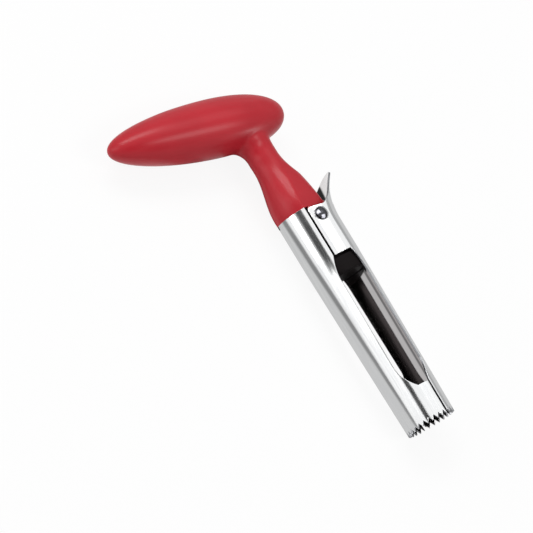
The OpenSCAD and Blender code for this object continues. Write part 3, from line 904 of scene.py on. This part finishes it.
# %% [markdown]
# Soft boxes light the tool. Each stands at a turn round it from the camera's side,
# and its brightness is what it adds in a mirror, where white is 1. The long box on the left shows
# in the barrel. The next four stand above or below the picture, where only the round red grip
# mirrors them: they draw the streak on the egg and the bright ridge of the neck. The last two draw
# the two spots on the rivet. They are linked to its heads alone, or they would flood everything else.

# %% Soft boxes
barrel_middle, neck_middle = at(0, -35), at(0, 30)
left_distance, left_shift = 0.9, 0.35
grip_distance = 1.2


def turned_out(degrees):
    """Direction away from the barrel's axis, at a turn from the camera's side."""
    swing = math.radians(degrees)
    return math.cos(swing) * level + math.sin(swing) * right


def soft_box(name, place, facing, size, brightness):
    data = bpy.data.lights.new(name, "AREA")
    data.shape = "RECTANGLE"
    data.size, data.size_y = size
    data.energy = brightness * math.pi * size[0] * size[1]
    made = bpy.data.objects.new(name, data)
    bpy.context.scene.collection.objects.link(made)
    made.matrix_world = Matrix.Translation(place) @ facing.to_4x4()
    return made


def grip_box(name, swing, lift, turn, size, brightness):
    """A box that faces the neck: degrees round it, along it and in the box's own plane, then metres."""
    flat, side = turned_out(swing), turned_out(swing + 90)
    lift, turn = math.radians(lift), math.radians(turn)
    out = math.cos(lift) * flat + math.sin(lift) * along
    rise = math.cos(lift) * along - math.sin(lift) * flat
    wide = math.cos(turn) * side + math.sin(turn) * rise
    facing = Matrix((wide, out.cross(wide), out)).transposed()
    return soft_box(name, neck_middle + out * grip_distance, facing, size, brightness)


left_place = barrel_middle + turned_out(-40) * left_distance + along * left_shift
left_facing = (at(0, 0) - left_place).to_track_quat("-Z", "Y").to_matrix()
soft_box("left_box", left_place, left_facing, (0.45, 1.0), 1.6)
grip_box("upper_box", 24, 36, 0, (0.80, 0.42), 6.5)
grip_box("ridge_box", 58, 16, 0, (0.80, 0.55), 1.1)
grip_box("lower_box", 45, -27, -8, (0.66, 0.34), 5.0)
grip_box("root_lamp", 97, -55, 0, (0.12, 0.12), 25.0)
rivets = bpy.data.collections.new("rivets")
for node in ("hinge_pin", "pin_cap"):
    rivets.objects.link(nodes[node])
for box in (grip_box("rivet_box_above", 17, 38, 0, (1.2, 1.2), 10.0),
            grip_box("rivet_box_below", 66, -42, 0, (1.0, 1.0), 10.0)):
    box.light_linking.receiver_collection = rivets
print("soft boxes:", [made.name for made in bpy.data.lights])

# %% [markdown]
# Polished steel shows what stands around it. In the photograph dark bands run down the barrel,
# where it mirrors what is near the camera. Black and grey flags beside the tool give the same bands.
# Each is an upright card that only mirror rays see, so it throws no shade and isn't in the picture.

# %% Flags for the mirror
def grey_of(value):
    return (value, value, value, 1)


def for_mirror(made, material, tree, colour):
    glow = add(tree, "Emission", {"Color": colour, "Strength": 1.0})
    add(tree, "OutputMaterial", {"Surface": glow.outputs["Emission"]})
    wear(material, made)
    made.visible_camera = made.visible_diffuse = False
    made.visible_shadow = made.visible_transmission = False


def flag(name, distance, from_swing, to_swing, low, high, grey):
    """A card between two turns round the barrel, in degrees, and two places along it, in metres."""
    middle = (from_swing + to_swing) / 2
    half = distance * math.tan(math.radians((to_swing - from_swing) / 2))
    out, across = turned_out(middle), turned_out(middle + 90)
    made = begin(name, bpy.ops.mesh.primitive_plane_add, size=2)
    for vertex in made.data.vertices:
        place = Vector((hinge.x, 0, hinge.z)) + out * distance + across * half * vertex.co.x
        vertex.co = place + along * between(low, high, (vertex.co.y + 1) / 2)
    material, tree = finish(name)
    for_mirror(made, material, tree, grey_of(grey))


flag("black_flag_above", 0.12, -25, -1, 0.002, 0.06, 0.05)
flag("grey_flag_above", 0.12, -32, -25, 0.002, 0.06, 0.50)
flag("black_flag_below", 0.12, -9, 9, -0.2, -0.032, 0.05)
flag("grey_flag_right", 0.55, 106, 123, -0.3, 0.4, 0.42)
print("flags are up")

# %% [markdown]
# The barrel also mirrors the table in the tool's own shade. A sheet of graded grey paper beside it,
# which glows in greys that only mirror rays see, paints that shade as the grey band on the left.
# The round barrel crowds far places together, so the paper is graded
# by one over the distance from the barrel's axis, and its bands lean because the barrel tapers.
# Two narrow strips of painted shade under the tool are graded across in the same way: they darken
# the back of the tab and the inside of the barrel in the mirror.

# %% Paper and shade on the table
# The gap and the lifts are in mm, the paper's other lengths in metres.
paper_gap, paper_lift = 12, 0.2
paper_w, paper_l, paper_middle = 0.6, 0.4, -0.1
paper_lean, paper_start = -0.262, -0.0218
paper_from, paper_to = -0.02, 0.03
paper_greys = [(0.10, 0.95), (0.235, 0.25), (0.48, 0.25), (0.66, 0.62)]
shade_lift = 0.3

# The paper is painted shade: a card glowing in greys that only mirror rays see.
paper = begin("grey_paper_of_painted_shade", bpy.ops.mesh.primitive_plane_add, size=1)
for vertex in paper.data.vertices:
    vertex.co = (hinge.x - paper_gap * MM - paper_w * (0.5 - vertex.co.x),
                 paper_middle + paper_l * vertex.co.y, paper_lift * MM)
material, tree = finish("grey_paper_of_painted_shade")
place = add(tree, "SeparateXYZ", {0: add(tree, "TexCoord").outputs["Object"]}).outputs
away = add(tree, "Math", {0: hinge.x, 1: place["X"]}, operation="SUBTRACT")
near = add(tree, "Math", {0: MM, 1: away.outputs["Value"]}, operation="DIVIDE")
slant = add(tree, "Math", {0: place["Y"], 1: paper_lean, 2: paper_start}, operation="MULTIPLY_ADD")
share = add(tree, "Math", {0: near.outputs["Value"], 1: slant.outputs["Value"]}, operation="ADD")
share = add(tree, "MapRange", {"Value": share.outputs["Value"],
                               "From Min": paper_from, "From Max": paper_to})
tone = add(tree, "ValToRGB", {"Fac": share.outputs["Result"]})
grade(tone, *[(position, grey_of(value)) for position, value in paper_greys])
for_mirror(paper, material, tree, tone.outputs["Color"])


def shade(name, low, high, stops):
    """A strip between two places along the tool, graded across it, all in mm from the hinge's plane."""
    first, last = stops[0][0], stops[-1][0]
    made = begin(name, bpy.ops.mesh.primitive_plane_add, size=1)
    for vertex in made.data.vertices:
        vertex.co = (hinge.x + between(first, last, vertex.co.x + 0.5) * MM,
                     between(low, high, vertex.co.y + 0.5) * MM, shade_lift * MM)
    material, tree = finish(name)
    place = add(tree, "SeparateXYZ", {0: add(tree, "TexCoord").outputs["Object"]}).outputs
    share = add(tree, "MapRange", {"Value": place["X"], "From Min": hinge.x + first * MM,
                                   "From Max": hinge.x + last * MM})
    tone = add(tree, "ValToRGB", {"Fac": share.outputs["Result"]})
    grade(tone, *[((across - first) / (last - first), grey_of(value)) for across, value in stops])
    for_mirror(made, material, tree, tone.outputs["Color"])


shade("shade_under_the_neck", 20, 70, [(-12, 0.03), (8, 0.03), (10.5, 0.95), (40, 0.95)])
shade("shade_under_the_barrel", -90, 20, [(-2, 0.6), (0.5, 0.2), (5, 0.2), (8, 0.6)])
print("paper and shade are down")

# %% [markdown]
# The picture is shown without a film curve, so that a colour looks as it was written.

# %% Finish
bpy.context.scene.view_settings.view_transform = "Standard"
bpy.context.view_layer.update()
